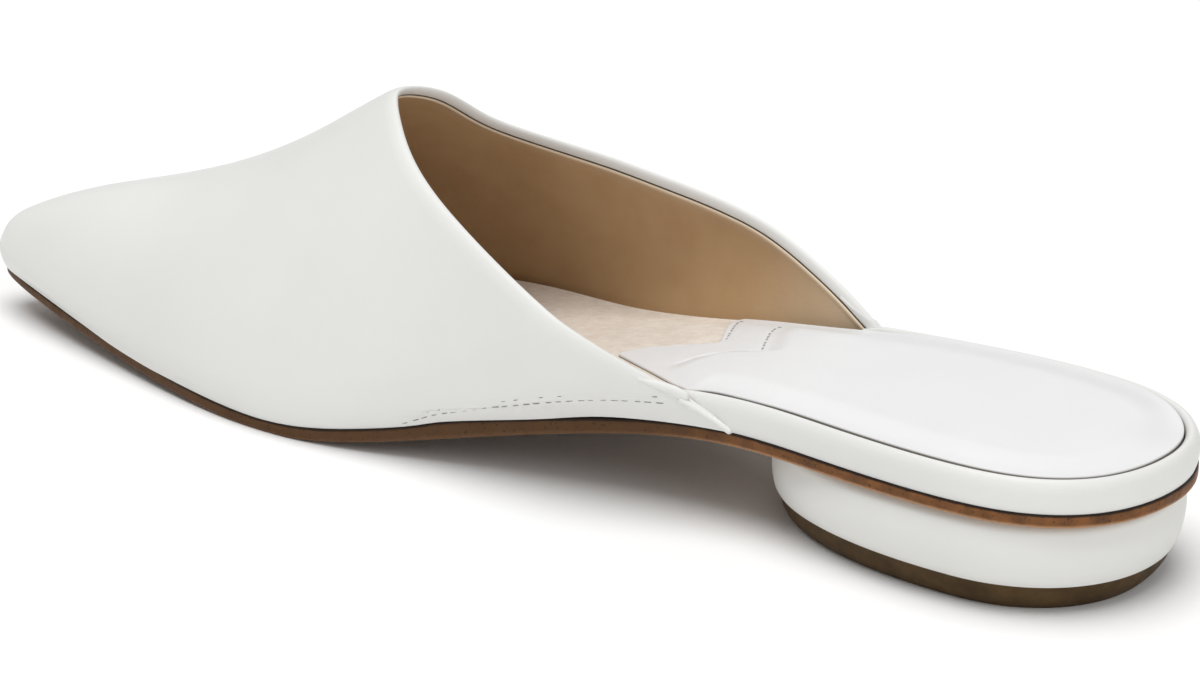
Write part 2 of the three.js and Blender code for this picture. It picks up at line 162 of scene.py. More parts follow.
FOREFOOT_START = 151.0           # in front of here the leather's foot covers the sole's corner
FOOT_FLARE = 0.5                 # how far the foot turns out there
FOOT_OVERLAP = 0.42              # and how far it comes down over the sole's top edge
OVERLAP_MIDDLE = 226.0           # where it does so most
OVERLAP_SPREAD = 20.0
WAIST_RISE = 0.62                # the sole's edge is thicker through the waist than in front of it
WAIST_START = 120.0
WAIST_END = 153.0
SOLE_ARRIS = 0.6                 # radius of the sole's lower corner

TAIL_AROUND = 85.6               # beyond this angle the edge is the tail that meets the rim
TAIL_ROLL_RADIUS = 0.45          # at the tails, below the insole's level
TAIL_REACH = 0.8                 # reach of the roll there
TAIL_CORD_RADIUS = 0.64          # the folded cord that runs down each tail
NOSE_START = 81.8                # the rounded nose grows out of the edge from this angle
NOSE_TURN = 3.6                  # and is full so many degrees further on

RIM_END_MEET = (3.6, 1.8)        # how far the rim's ends come up against the tails, inner and outer
RIM_TONGUE_INSET = 2.25          # the tongues inside the tails lie this far in
RIM_TONGUE_LEAN = 0.26           # less so towards the top
RIM_TONGUE_INNER = 104.0         # how far forward they run
RIM_TONGUE_OUTER = 84.5
RIM_OUTER_DROP = 0.45            # the rim stands a little lower on the outer side
RIM_CUT_POINTS = 34              # points of its section before the cut edge at the sock

SOCK_LIFT = 0.5                  # the white sock lies on the insole
SOCK_EDGE = 0.27                 # radius of its rounded edge
PAD_HEIGHT = 0.8                 # cushion under the sock
SUEDE_BACK_INNER = 93.0          # the suede runs on under the sock to here
SUEDE_BACK_OUTER = 103.0
SIDE_SEAM_PITCH = 2.35           # stitch spacing
SOCK_SEAM_PITCH = 1.75

# The two lines of the seam low on each side of the upper, as heights above the leather's foot: the lower one
# is stitched, the upper one is the turned edge inside the seam.
SIDE_SEAM = table(
    "y up fold",
    (88, 4.5, 5.8),
    (97, 4.45, 5.85),
    (108, 4.45, 5.75),
    (116, 4.3, 5.6),
    (122, 4.1, 5.5),
    (128, 3.8, 5.1),
    (135, 3.3, 4.45),
    (142, 2.5, 3.6),
    (147, 1.85, 2.9),
    (152, 0.9, 1.9),
    (156, 0.25, 0.9),
)
# Where single threads of the upper line show.
FOLD_STITCHES = (97.4, 117.5, 121.8, 127.6, 130.4, 144.9, 147.2)

# Front edge of the white sock, from the inner side to the outer side. round is the corner's radius.
SOCK_FRONT = table(
    "x y round",
    (-17.6, 100.6, 5),
    (-8.4, 113.8, 4),
    (-1.2, 123.9, 1.2),
    (2.9, 120.7, 2.6),
    (5.2, 113.2, 3),
    (7.3, 105.8, 0.6),
    (11.8, 107.8, 2),
    (17.0, 110.3, 2),
    (22.2, 112.5, 1.5),
    (25.1, 112.4, 0.8),
)
SOCK_INNER_Y = 95.5              # where the front edge leaves the insole's outline on the inner side
SOCK_OUTER_Y = 111.3             # and on the outer side
SOCK_SIDE_GAP = 0.1              # the sock stops this much short of the insole's outline
SOCK_TAIL_GAP = 0.8              # and further short of it beside the inner tail
# How far the insole falls away towards the outer side's wall.
OUTER_FALL = table(
    "y fall",
    (40, 0), (70, 0.1), (80, 0.7), (90, 1.15), (105, 1.15), (118, 1.25), (130, 1.15), (142, 0.7), (152, -0.1),
    (162, -0.8), (178, -1.0), (200, 0),
)
# The sock's two stitched lines, and the front of the cushion under it.
TAB_STITCHES = table("x y", (8.9, 105.3), (13.1, 107.1), (18.0, 109.1), (22.4, 110.9), (24.4, 110.9))
PAD_STITCHES = table("x y", (4.9, 94.6), (10.0, 96.9), (14.8, 98.9), (18.6, 99.9), (20.6, 99.6))
PAD_FRONT = table(
    "x y",
    (-14.0, 108.5), (-9.0, 107.6), (-5.1, 106.2), (-1.8, 105.2), (0.7, 102.6), (2.2, 97.6), (4.4, 93.4),
    (8.5, 95.0), (14.0, 97.6), (20.0, 99.0), (27.0, 98.0),
)

# Camera, in the drawing frame.
CAMERA_AZIMUTH = -56.95
CAMERA_ELEVATION = 21.86
CAMERA_ROLL = 1.14
CAMERA_DISTANCE = 1303.6
CAMERA_TARGET = (0.0, 128.66, 18.59)
CAMERA_LENS = 200.33


# ---- Smooth curves through tables ----------------------------------------------------
def curve_through(xs, ys):
    """Natural cubic spline through the points, as a function of an array."""
    order = np.argsort(xs)
    xs, ys = np.asarray(xs, float)[order], np.asarray(ys, float)[order]
    step = np.diff(xs)
    bend = np.zeros(len(xs))
    if len(xs) > 2:
        system = np.diag(2 * (step[:-1] + step[1:])) + np.diag(step[1:-1], 1) + np.diag(step[1:-1], -1)
        bend[1:-1] = np.linalg.solve(system, 6 * np.diff(np.diff(ys) / step))

    def curve(x):
        x = np.asarray(x, float)
        i = np.clip(np.searchsorted(xs, x) - 1, 0, len(xs) - 2)
        right = (x - xs[i]) / step[i]
        left = 1 - right
        swing = (left ** 3 - left) * bend[i] + (right ** 3 - right) * bend[i + 1]
        return left * ys[i] + right * ys[i + 1] + swing * step[i] ** 2 / 6

    return curve


def curves_over(columns, position):
    """One curve for each column of a table, over the given positions of its rows."""
    return {name: curve_through(position, values) for name, values in columns.items()}


def smooth_step(x):
    x = np.clip(x, 0, 1)
    return x * x * (3 - 2 * x)


def unit(vectors):
    """The same directions, one long."""
    return vectors / np.linalg.norm(vectors, axis=-1, keepdims=True)


def left_of(directions):
    """Plan directions turned a quarter to the left."""
    return np.stack([-directions[..., 1], directions[..., 0]], -1)


def along_path(path):
    """Distance of each point of a path from its start."""
    return np.concatenate([[0], np.cumsum(np.linalg.norm(np.diff(path, axis=0), axis=-1))])


def at_distances(at, along, path):
    return np.stack([np.interp(at, along, path[:, k]) for k in range(path.shape[1])], -1)


def sole_angle(y):
    return np.arccos(np.clip(1 - 2 * np.asarray(y, float) / SOLE_LENGTH, -1, 1))


def sole_y(angle):
    return SOLE_LENGTH * (1 - np.cos(np.abs(angle))) / 2


def last_share(y):
    return np.sqrt(1 - np.asarray(y, float) / UPPER_TIP)


PLAN = curves_over(SOLE_PLAN, sole_angle(SOLE_PLAN["y"]))
SIDE = curves_over(SOLE_SIDE, SOLE_SIDE["y"])
LAST = curves_over(LAST_SECTIONS, last_share(LAST_SECTIONS["y"]))
TOPLINE_Y = curve_through(TOPLINE["around"], TOPLINE["y"])


def sole_top(y):
    return SIDE["top"](y)


def sole_under(y):
    return np.maximum(0, SIDE["under"](y))


def insole_top(y):
    return sole_top(y) + SIDE["insole"](y)


def waist_rise(y):
    return WAIST_RISE * smooth_step((WAIST_END - y) / 8) * smooth_step((y - WAIST_START) / 24)


def sole_outline(angle):
    """Points of the sole's outline: 0 is the back, -pi and pi the tip, negative the inner side."""
    along = np.abs(angle)
    width = np.where(angle < 0, -PLAN["inner"](along), PLAN["outer"](along))
    return np.stack([PLAN["axis"](along) + width, sole_y(along)], -1)


def sole_inset(angle, inset):
    """The same outline moved inwards, square to itself."""
    nudge = 1e-4
    along = unit(sole_outline(angle + nudge) - sole_outline(angle - nudge))
    return sole_outline(angle) + left_of(along) * np.asarray(inset)[..., None]


# ---- The upper's surface -------------------------------------------------------------
def last_outward(share, side):
    """Outward direction of the last's plan, on the inner (-1) or outer (1) side."""
    nudge = 1e-3
    start, end = np.maximum(share - nudge, 0), share + nudge

    def plan_x(at):
        return LAST["axis"](at) + side * np.where(side < 0, LAST["inner"](at), LAST["outer"](at))

    across = (plan_x(end) - plan_x(start)) / (end - start)
    along = -2 * UPPER_TIP * share
    length = np.hypot(across, along)
    return side * np.abs(along) / length, side * across / length


def upper_point(share, around):
    """Outer face of the leather: share along the last (0 at the tip), around from -90 degrees to 90."""
    share, around = np.broadcast_arrays(np.asarray(share, float), np.asarray(around, float))
    side = np.where(around < 0, -1.0, 1.0)
    angle = np.radians(90 - np.abs(around))
    rise = np.sin(angle)
    spread = np.cos(angle) * (1 - LAST["pinch"](share) * rise ** 2)
    up = LAST["crest"](share) * rise
    half_width = np.where(side < 0, LAST["inner"](share), LAST["outer"](share))
    tuck = np.where(side < 0, LAST["inner_tuck"](share), LAST["outer_tuck"](share))
    pull = tuck * np.maximum(0, 1 - up / LAST["tuck_height"](share)) ** 2
    out_x, out_y = last_outward(share, side)
    y = UPPER_TIP * (1 - share ** 2)
    # The leather rests on the sole, and round the forefoot its foot turns out over the sole's corner.
    most = np.exp(-((y - OVERLAP_MIDDLE) / OVERLAP_SPREAD) ** 2)
    over = smooth_step((y - FOREFOOT_START) / 6) * (0.2 + 0.75 * most)
    pull = pull - over * FOOT_FLARE * np.exp(-up / 0.9)
    rest = (FIT_GAP - 0.02) * np.exp(-up / 4) + over * FOOT_OVERLAP * np.exp(-up / 1.5)
    rest = rest - waist_rise(y) * np.exp(-up / 5)
    x = LAST["axis"](share) + side * half_width * spread - out_x * pull
    return np.stack([x, y - out_y * pull, upper_foot(y) + up - rest], -1)


def upper_foot(y):
    """Height of the leather's lower edge."""
    return sole_top(np.minimum(y, SOLE_LENGTH)) + FIT_GAP


def upper_outward(share, around):
    """Direction square to the leather, turning level at its foot."""
    nudge = 0.004
    share = np.maximum(share, 2 * nudge)
    around = np.clip(around, -89, 89)
    along = upper_point(share - nudge, around) - upper_point(share + nudge, around)
    across = upper_point(share, around + 1) - upper_point(share, around - 1)
    outward = unit(np.cross(across, along))
    here = upper_point(share, around)
    outward[..., 2] *= np.clip((here[..., 2] - upper_foot(here[..., 1])) / FLAT_FOOT_HEIGHT, 0, 1)
    return unit(outward)


def leather(share, around, depth):
    """Point at a depth behind the leather's outer face."""
    return upper_point(share, around) - upper_outward(share, around) * np.asarray(depth)[..., None]


SEAM_UP = curve_through(SIDE_SEAM["y"], SIDE_SEAM["up"])
SEAM_FOLD = curve_through(SIDE_SEAM["y"], SIDE_SEAM["fold"])


def on_side(y, up, side, lift=0.0):
    """Point of the leather at a height above its foot, on the inner (-1) or outer (1) side."""
    share = last_share(y)
    around = side * (90 - np.degrees(np.arcsin(np.clip(up / LAST["crest"](share), 0, 1))))
    return leather(share, around, -np.broadcast_to(lift, np.shape(share)))


class OpenEdge:
    """The upper's open edge: at each column, how share and around change for one mm square to the edge."""

    def __init__(self, around):
        self.around = around
        self.share = last_share(TOPLINE_Y(around))
        nudge = 0.05
        ahead = np.clip(around + nudge, -90, 90)
        behind = np.clip(around - nudge, -90, 90)
        tangent = unit(self.edge_point(ahead) - self.edge_point(behind))
        forward = (upper_point(self.share - 0.002, around) - upper_point(self.share + 0.002, around)) / 0.004
        across = upper_point(self.share, ahead) - upper_point(self.share, behind)
        across /= (ahead - behind)[:, None]
        inwards = unit(forward - tangent * np.sum(forward * tangent, -1, keepdims=True))
        system = np.stack([
            np.stack([np.sum(forward * inwards, -1), np.sum(across * inwards, -1)], -1),
            np.stack([np.sum(forward * tangent, -1), np.sum(across * tangent, -1)], -1),
        ], -2)
        _, turn = np.linalg.solve(system, np.broadcast_to([1.0, 0.0], (len(around), 2))[..., None])[..., 0].T
        # Near the feet a column stays clear of the foot's own line.
        room = 90 - np.abs(around)
        turn = np.where(turn * np.sign(around) > 0, np.clip(turn, -0.14 * room, 0.14 * room), turn)
        self.turn = turn
        self.step = (1 - turn * np.sum(across * inwards, -1)) / np.sum(forward * inwards, -1)
        tail = smooth_step((np.abs(around) - TAIL_AROUND) / 1.2)
        self.radius = ROLL_RADIUS + (TAIL_ROLL_RADIUS - ROLL_RADIUS) * tail
        # The top of the roll: nearer the lining on the inner side, nearer the outer face on the outer side.
        lean = smooth_step((-around - 4) / 30) - 0.4 * smooth_step((around - 4) / 22)
        apex = ROLL_RADIUS + ROLL_LEAN * lean
        self.apex = apex + (TAIL_ROLL_RADIUS - apex) * tail
        self.reach = ROLL_REACH + (TAIL_REACH - ROLL_REACH) * tail
        # The seam inside lies close under the edge on the inner side.
        self.near = smooth_step((-around - 2) / 12)
        self.seam = self.radius + TURNED_BAND - SEAM_LIFT * self.near * (1 - tail)
        # From the crest down the outer side the turned edge stands a little further out.
        self.proud = EDGE_PROUD * smooth_step((around + 12) / 26) * (1 - tail)

    def edge_point(self, around):
        return upper_point(last_share(TOPLINE_Y(around)), around)

    def inside(self, distance):
        """share and around at a distance from the edge."""
        return self.share - self.step * distance, self.around + self.turn * distance


def to_frame(points):
    return (np.asarray(points, float) + DRAWING_ORIGIN) * MM


def find_drawing_origin():
    """Where the drawing frame's origin lies in the row frame, in mm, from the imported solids' boxes."""
    sole_low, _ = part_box("outsole")
    rubber_low, rubber_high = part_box("top_piece")
    return np.array([(rubber_low.x + rubber_high.x) / 2 / MM - HEEL_SIDE_SHIFT, sole_low.y / MM, 0.0])


DRAWING_ORIGIN = find_drawing_origin()


# ---- Meshes --------------------------------------------------------------------------
def lattice_faces(rows, columns, closed=False, first=0, flip=False):
    """Quads of a grid of rows by columns, numbered row by row."""
    i, j = np.meshgrid(np.arange(rows - 1), np.arange(columns if closed else columns - 1), indexing="ij")
    here = i * columns + j
    beside = i * columns + (j + 1) % columns
    quads = np.stack([here, beside, beside + columns, here + columns], -1).reshape(-1, 4) + first
    return (quads[:, ::-1] if flip else quads).tolist()


def add_object(name, data):
    made = bpy.data.objects.new(name, data)
    bpy.context.scene.collection.objects.link(made)
    return made


def make_mesh(name, points, faces, material, sharp=38.0):
    mesh = bpy.data.meshes.new(name)
    mesh.from_pydata(to_frame(points).tolist(), [], faces)
    mesh.validate()
    mesh.shade_smooth()
    mesh.set_sharp_from_angle(angle=math.radians(sharp))
    mesh.materials.append(material)
    piece = add_object(name, mesh)
    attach(piece, "root")
    return piece


def stacked_rings(name, rings, material, sharp=38.0):
    """Rings of points from the bottom up, closed below and above by strips across the shoe."""
    levels, count, _ = rings.shape
    faces = lattice_faces(levels, count, closed=True)
    top = (levels - 1) * count
    for i in range(count // 2):
        opposite, beyond = (count - i) % count, count - i - 1
        faces.append([i, opposite, beyond, i + 1])
        faces.append([top + i, top + i + 1, top + beyond, top + opposite])
    faces = [list(dict.fromkeys(face)) for face in faces]
    return make_mesh(name, rings.reshape(-1, 3), faces, material, sharp)


def store(piece, name, values):
    """Keeps one number for each point of the mesh, for its material to read."""
    attribute = piece.data.attributes.new(name, "FLOAT", "POINT")
    attribute.data.foreach_set("value", np.asarray(values, np.float32))


# ---- Materials -----------------------------------------------------------------------
class Finish:
    """A Principled material and short ways of adding procedural nodes to it. Coordinates are in metres."""

    def __init__(self, name, color, roughness, **sockets):
        self.material = bpy.data.materials.new(name)
        self.material.use_nodes = True
        self.nodes = self.material.node_tree.nodes
        self.links = self.material.node_tree.links
        self.shader = self.nodes["Principled BSDF"]
        self.shader.inputs["Base Color"].default_value = (*color, 1)
        self.shader.inputs["Roughness"].default_value = roughness
        for socket, value in sockets.items():
            self.shader.inputs[socket.replace("_", " ")].default_value = value
        self.place = self.nodes.new("ShaderNodeTexCoord").outputs["Object"]

    def node(self, kind, links=(), **values):
        made = self.nodes.new(kind)
        for key, value in values.items():
            setattr(made, key, value)
        for socket, source in dict(links).items():
            if isinstance(source, bpy.types.NodeSocket):
                self.links.new(source, made.inputs[socket])
            else:
                made.inputs[socket].default_value = source
        return made

    def stretched(self, scale):
        return self.node("ShaderNodeMapping", {"Vector": self.place, "Scale": scale}).outputs["Vector"]

    def noise(self, size, detail=3.0, roughness=0.5, where=None):
        """Noise whose lumps are about size metres across."""
        links = {"Vector": where or self.place, "Scale": 1 / size, "Detail": detail, "Roughness": roughness}
        return self.node("ShaderNodeTexNoise", links).outputs["Fac"]

    def cells(self, size, feature="F1", where=None):
        links = {"Vector": where or self.place, "Scale": 1 / size}
        return self.node("ShaderNodeTexVoronoi", links, feature=feature).outputs["Distance"]

    def spread(self, source, low, high, start=0.0, end=1.0):
        """Maps the source's low..high to start..end."""
        links = {"Value": source, "From Min": low, "From Max": high, "To Min": start, "To Max": end}
        return self.node("ShaderNodeMapRange", links).outputs["Result"]

    def math(self, operation, a, b):
        return self.node("ShaderNodeMath", {0: a, 1: b}, operation=operation).outputs[0]

    def blend(self, share, a, b):
        """Colour a where share is 0 and b where it is 1."""
        mix = self.nodes.new("ShaderNodeMix")
        mix.data_type = "RGBA"
        for socket, source in ((mix.inputs[0], share), (mix.inputs[6], a), (mix.inputs[7], b)):
            if isinstance(source, bpy.types.NodeSocket):
                self.links.new(source, socket)
            else:
                socket.default_value = (*source, 1) if isinstance(source, tuple) else source
        return mix.outputs[2]

    def stored(self, name):
        return self.node("ShaderNodeAttribute", attribute_name=name).outputs["Fac"]

    def color(self, source):
        self.links.new(source, self.shader.inputs["Base Color"])

    def roughness(self, source):
        self.links.new(source, self.shader.inputs["Roughness"])

    def bump(self, *heights):
        """Bumps one after another: each is (source, depth in metres)."""
        last = None
        for source, depth in heights:
            links = {"Height": source, "Distance": depth, "Strength": 1.0}
            if last is not None:
                links["Normal"] = last
            last = self.node("ShaderNodeBump", links).outputs["Normal"]
        self.links.new(last, self.shader.inputs["Normal"])


def white_leather(name, color, shade, roughness=0.42, grain=0.000012):
    """Smooth white leather with a fine grain, dark grey where a raw edge is stored: partly the raw edge's own
    colour, partly painted shade of the gap beside it.
    """
    finish = Finish(name, color, roughness, Specular_IOR_Level=0.35)
    toned = finish.blend(finish.spread(finish.noise(0.03), 0.3, 0.7), color, shade)
    # Dark grey on raw edges: partly the cut leather's own colour, partly painted shade of the narrow gap
    # between the sock and the rim.
    finish.color(finish.blend(finish.stored("raw_edge_and_gap_shade"), toned, (0.25, 0.23, 0.20)))
    pebble = finish.cells(0.00042, "SMOOTH_F1")
    fine = finish.noise(0.00018, 2.0)
    soft = finish.noise(0.006, 2.0)
    finish.roughness(finish.spread(finish.noise(0.004), 0.3, 0.7, roughness - 0.04, roughness + 0.05))
    finish.bump((pebble, grain), (fine, grain * 0.5), (soft, 0.00004))
    return finish.material


def lining_finish():
    """Tan leather: a painted cream highlight on its rolled edge, painted light towards the tails, and painted
    shade in the groove beside the seam.
    """
    light, dark = (0.50, 0.325, 0.172), (0.46, 0.29, 0.148)
    highlight_cream, shadow = (0.74, 0.60, 0.44), (0.06, 0.044, 0.03)
    finish = Finish("lining", light, 0.5, Specular_IOR_Level=0.3)
    toned = finish.blend(finish.spread(finish.noise(0.012), 0.35, 0.65), light, dark)
    # Cream painted highlight on the rolled edge, and painted light towards the tails.
    highlit = finish.blend(finish.stored("painted_light_share"), toned, highlight_cream)
    # Painted shade in the groove between the turned band and the lining.
    finish.color(finish.blend(finish.stored("seam_groove_shade"), highlit, shadow))
    finish.roughness(finish.spread(finish.noise(0.003), 0.3, 0.7, 0.46, 0.56))
    finish.bump((finish.cells(0.0005, "SMOOTH_F1"), 0.00002), (finish.noise(0.008), 0.00006))
    return finish.material


def suede_finish():
    light, dark = (0.82, 0.75, 0.665), (0.70, 0.61, 0.52)
    finish = Finish("suede", light, 0.95, Sheen_Weight=0.2, Sheen_Roughness=0.5, Specular_IOR_Level=0.2)
    brushed = finish.noise(0.0016, 5.0, 0.7, finish.stretched((1.0, 0.45, 1.0)))
    nap = finish.noise(0.0006, 4.0, 0.75, finish.stretched((1.0, 0.6, 1.0)))
    cloudy = finish.noise(0.01, 2.0)
    mixed = finish.math("ADD", finish.math("MULTIPLY", brushed, 0.6), finish.math("MULTIPLY", nap, 0.4))
    toned = finish.math("ADD", mixed, finish.math("MULTIPLY", finish.math("SUBTRACT", cloudy, 0.5), 0.25))
    finish.color(finish.blend(finish.spread(toned, 0.40, 0.62), dark, light))
    finish.bump((brushed, 0.00012), (nap, 0.00006))
    return finish.material


def sole_edge_finish():
    """Painted edge: dark burnished line at the top, partly the edge's ink and partly painted shade of the gap
    under the leather; brown with small specks; a painted highlight along the rounded lower corner. The brown
    is duller round the forefoot."""
    heel_brown, toe_brown = (0.230, 0.092, 0.030), (0.098, 0.048, 0.017)
    arris_highlight, ink_and_gap_shade = (0.42, 0.235, 0.125), (0.02, 0.012, 0.008)
    finish = Finish("sole_edge", heel_brown, 0.5, Specular_IOR_Level=0.15)
    height, forefoot = finish.stored("edge_height"), finish.stored("forefoot")
    brown = finish.blend(forefoot, heel_brown, toe_brown)
    mottled = finish.blend(finish.spread(finish.noise(0.004, 4.0), 0.3, 0.75), brown, (0.085, 0.04, 0.018))
    specks = finish.spread(finish.noise(0.0006, 1.0), 0.64, 0.72)
    speckled = finish.blend(finish.math("MULTIPLY", specks, 0.7), mottled, ink_and_gap_shade)
    wander = finish.math("MULTIPLY", finish.math("SUBTRACT", finish.noise(0.002), 0.5), 0.10)
    uneven = finish.math("ADD", height, wander)
    # Painted highlight along the rounded lower corner, fading round the forefoot.
    fading = finish.spread(forefoot, 0.0, 1.0, 0.9, 0.12)
    highlight_share = finish.math("MULTIPLY", finish.spread(uneven, 0.30, 0.12), fading)
    with_highlight = finish.blend(highlight_share, speckled, arris_highlight)
    # Dark line along the top: partly the edge's own ink, partly painted shade of the gap under the leather.
    finish.color(finish.blend(finish.spread(uneven, 0.80, 0.90), with_highlight, ink_and_gap_shade))
    finish.roughness(finish.spread(finish.noise(0.003), 0.3, 0.7, 0.42, 0.62))
    finish.bump((finish.noise(0.0009, 3.0), 0.00004), (finish.noise(0.004), 0.00005))
    return finish.material


def rubber_finish():
    light, dark = (0.085, 0.050, 0.020), (0.055, 0.032, 0.013)
    finish = Finish("heel_rubber", light, 0.6, Specular_IOR_Level=0.12)
    finish.color(finish.blend(finish.spread(finish.noise(0.006, 4.0), 0.35, 0.65), light, dark))
    finish.roughness(finish.spread(finish.noise(0.002), 0.3, 0.7, 0.48, 0.66))
    finish.bump((finish.noise(0.0004, 3.0), 0.00003), (finish.noise(0.003), 0.00003))
    return finish.material


def thread_finish(name, color):
    finish = Finish(name, color, 0.7)
    twist = finish.node("ShaderNodeTexWave", {"Vector": finish.place, "Scale": 2200.0, "Distortion": 1.0})
    finish.color(finish.blend(twist.outputs["Fac"], color, tuple(0.7 * c for c in color)))
    finish.bump((twist.outputs["Fac"], 0.00004))
    return finish.material


UPPER_LEATHER = white_leather("upper_leather", (0.777, 0.777, 0.755), (0.752, 0.752, 0.729))
HEEL_LEATHER = white_leather("heel_leather", (0.77, 0.77, 0.742), (0.745, 0.745, 0.716))
SOCK_LEATHER = white_leather("sock_leather", (0.792, 0.792, 0.79), (0.767, 0.767, 0.77), roughness=0.38)
LINING = lining_finish()
SUEDE = suede_finish()
SOLE_EDGE = sole_edge_finish()
RUBBER = rubber_finish()
# The threads' grey is partly their own colour and partly painted shade of the stitch holes.
THREAD = thread_finish("side_thread", (0.40, 0.39, 0.37))
SOCK_THREAD = thread_finish("sock_thread", (0.46, 0.45, 0.43))


# ---- Upper ---------------------------------------------------------------------------
UPPER_COLUMNS = 340
UPPER_ROWS = 130
TIP_ROWS_OPEN = 13               # rows short of the tip at which a layer behind the face closes
LINING_AROUND = 89.2             # the lining stops at this angle, above the insole
LINING_START = 4.2               # distance from the edge where its plain rows begin


def edge_columns():
    """Angles about the section, closer together near both feet."""
    a = np.linspace(-1, 1, UPPER_COLUMNS + 1)
    return 90 * (0.62 * np.sin(a * math.pi / 2) + 0.38 * a)


def leather_relief(points):
    """How far the leather's face lies below its plain surface: stitched groove, fold line, swell between."""
    y = points[..., 1]
    above = points[..., 2] - upper_foot(y) - waist_rise(y) * 0.5
    present = smooth_step((y - 90) / 3) * smooth_step((156 - y) / 4)
    groove = 0.11 * np.exp(-((above - SEAM_UP(y)) / 0.28) ** 2)
    fold = 0.13 * np.exp(-((above - SEAM_FOLD(y)) / 0.22) ** 2)
    swell = -0.09 * np.exp(-((above - (SEAM_UP(y) + SEAM_FOLD(y)) / 2) / 0.4) ** 2)
    return present * (groove + fold + swell)


def rows_of(edge, distances_depths):
    """A row of points along the edge for each pair: distance inside it and depth behind the face."""
    rows = []
    for distance, depth in distances_depths:
        share, around = edge.inside(distance)
        rows.append(leather(share, around, depth))
    return rows


def toe_rows(edge, start, depth):
    """Rows from a distance inside the edge to the tip. A layer behind the face closes just before the tip."""
    share, around = edge.inside(start)
    rows = []
    for i in range(1, UPPER_ROWS - (TIP_ROWS_OPEN if depth else 0)):
        here = share * (1 - i / UPPER_ROWS)
        rows.append(leather(here, around, np.broadcast_to(depth, here.shape)))
    rows.append(np.broadcast_to(rows[-1].mean(axis=0), rows[-1].shape))
    return rows


def make_upper_leather():
    """The leather from the seam inside, over the turned edge and along the outer face to the toe."""
    edge = OpenEdge(edge_columns())
    apex, reach, seam = edge.apex, edge.reach, edge.seam
    still = 0 * seam
    profile = [(seam - 0.10, still + UPPER_WALL - 0.95), (seam - 0.02, still + UPPER_WALL - 0.4)]
    profile.append((seam - 0.04, still + UPPER_WALL - 0.12))
    band = seam + edge.proud
    for turn in np.radians(np.linspace(172, 90, 13)):
        share = 1 - math.sin(turn)
        depth = apex - (UPPER_WALL - apex) * math.cos(turn)
        profile.append((band * share - edge.proud, depth))
    for turn in np.radians(np.linspace(90, 0, 16)[1:]):
        share = 1 - math.sin(turn)
        profile.append(((reach + edge.proud) * share - edge.proud, apex * (1 - math.cos(turn))))
    profile.append((reach + 0.6, still))
    rows = np.array(rows_of(edge, profile) + toe_rows(edge, reach + 0.6, 0.0))
    normals = grid_normals(rows)
    plain = len(profile) - 4
    rows[plain:] -= normals[plain:] * leather_relief(rows[plain:])[..., None]
    rows = with_foot_strips(rows)
    faces = lattice_faces(rows.shape[0], rows.shape[1])
    piece = make_mesh("upper_leather", rows.reshape(-1, 3), faces, UPPER_LEATHER)
    weld(piece)
    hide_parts("upper")


def grid_normals(rows):
    """Outward directions of a grid: its columns run from the inner side to the outer, its rows to the toe."""
    across = np.gradient(rows, axis=1)
    along = np.gradient(rows, axis=0)
    normal = np.cross(across, along)
    return normal / np.maximum(np.linalg.norm(normal, axis=-1, keepdims=True), 1e-9)


def with_foot_strips(rows):
    """Adds columns that turn the leather under, level with its foot, along both sides."""
    inner, outer = rows[:, :1], rows[:, -1:]
    strips = []
    for cells in (inner, outer):
        y = cells[..., 1]
        centre = np.stack([LAST["axis"](last_share(np.clip(y, 0, UPPER_TIP))), y], -1)
        towards = np.concatenate([centre - cells[..., :2], 0 * cells[..., :1]], -1)
        length = np.maximum(np.linalg.norm(towards, axis=-1, keepdims=True), 1e-6)
        towards /= length
        strips.append([cells + towards * np.minimum(reach, length * 0.5) for reach in (0.5, 1.1, UPPER_WALL)])
    return np.concatenate(strips[0][::-1] + [rows] + strips[1], 1)


def weld(piece, distance=0.000002):
    """Joins points of a mesh that lie in one place."""
    work = bmesh.new()
    work.from_mesh(piece.data)
    bmesh.ops.remove_doubles(work, verts=work.verts, dist=distance)
    work.to_mesh(piece.data)
    work.free()


def make_upper_lining():
    """The lining, from its rolled edge beside the seam to the toe."""
    around = edge_columns()
    edge = OpenEdge(around[np.abs(around) <= LINING_AROUND])
    start = edge.seam + SEAM_GAP
    profile = [(start, UPPER_WALL - 0.9 + 0 * start), (start, UPPER_WALL - 0.3 + 0 * start)]
    for turn in np.radians(np.linspace(0, 115, 9)):
        depth = UPPER_WALL - 0.02 + LINING_BEAD * math.sin(turn)
        profile.append((start + LINING_BEAD * (1 - math.cos(turn)), depth))
    reach, depth = profile[-1]
    for share in (0.25, 0.5, 0.75, 1):
        settled = depth + (UPPER_WALL - depth) * smooth_step(share)
        profile.append((reach + (LINING_START - reach) * share ** 1.4 * 0.6, settled))
    rows = np.array(rows_of(edge, profile) + toe_rows(edge, LINING_START, UPPER_WALL))
    faces = lattice_faces(rows.shape[0], rows.shape[1], flip=True)
    piece = make_mesh("upper_lining", rows.reshape(-1, 3), faces, LINING)
    # Share of the cream painted highlight on the lining's rolled edge, weaker on the inner side.
    highlit = np.zeros(rows.shape[:2])
    highlit[:len(profile) - 4] = 1
    highlit[len(profile) - 4:len(profile)] = np.array([0.8, 0.55, 0.3, 0.12])[:, None]
    highlit *= 1 - 0.8 * edge.near
    # Painted light makes the lining paler towards the tails.
    highlit = np.maximum(highlit, 0.55 * smooth_step((LINING_LIT_START - rows[..., 1]) / 34))
    store(piece, "painted_light_share", highlit.ravel())
    # The lining's first rows, down in the seam's groove, carry painted shade.
    seam_groove_shade = np.zeros(rows.shape[:2])
    seam_groove_shade[:5] = np.array([1, 1, 0.9, 0.45, 0.1])[:, None]
    store(piece, "seam_groove_shade", seam_groove_shade.ravel())
    weld(piece)


